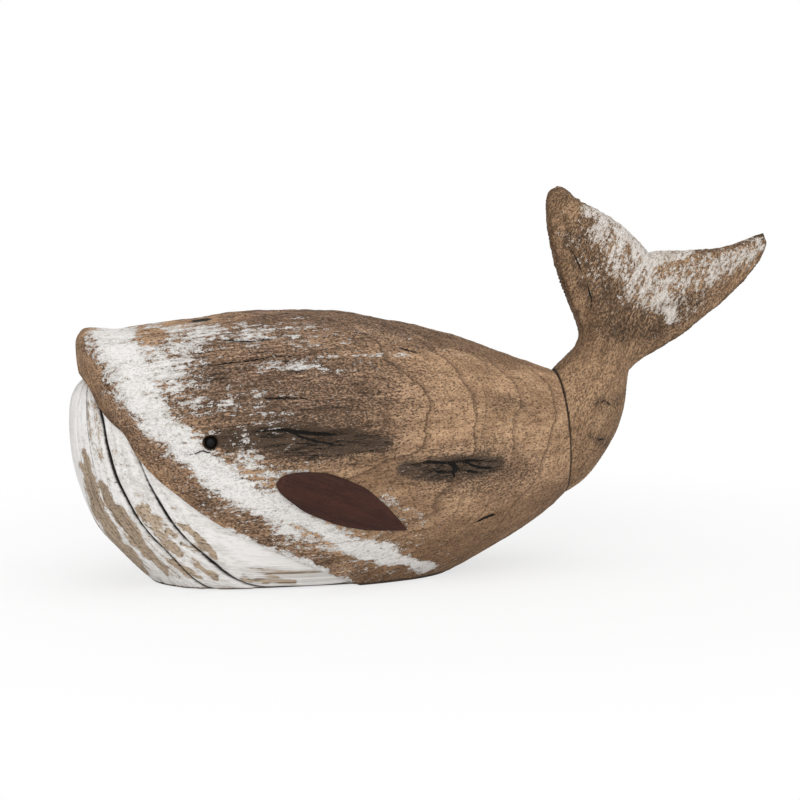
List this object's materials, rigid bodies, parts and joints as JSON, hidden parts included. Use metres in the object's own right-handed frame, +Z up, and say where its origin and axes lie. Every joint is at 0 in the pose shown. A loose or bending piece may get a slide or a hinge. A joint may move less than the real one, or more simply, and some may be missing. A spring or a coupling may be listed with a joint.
{
  "type": "whale figurine",
  "caption": "Carved wooden whale ornament with a grooved throat, pegged fins, inset eyes and a raised fluked tail, standing on a flat sawn base.",
  "frame": {"origin": "centre of the ornament's footprint, on the surface that it stands on", "axes": "+X from the head to the tail, +Y to the whale's right flank, +Z up"},
  "size_m": [0.4201, 0.1414, 0.2265],
  "materials": {
    "weathered_wood": "weathered bare wood with worn white paint on the head and throat",
    "tail_wood": "weathered bare wood with traces of white paint on the flukes",
    "dark_fin_wood": "dark red-brown stained wood, satin",
    "dowel_wood": "plain turned hardwood",
    "black_eye": "black bead, slightly glossy"
  },
  "bodies": {
    "root": {"body": "weathered_wood", "tail": "tail_wood", "tail_dowel_upper": "dowel_wood", "tail_dowel_lower": "dowel_wood", "left_fin": "dark_fin_wood", "right_fin": "dark_fin_wood", "left_fin_peg_front": "dowel_wood", "left_fin_peg_rear": "dowel_wood", "right_fin_peg_front": "dowel_wood", "right_fin_peg_rear": "dowel_wood", "left_eye": "black_eye", "right_eye": "black_eye"}
  },
  "joints": []
}
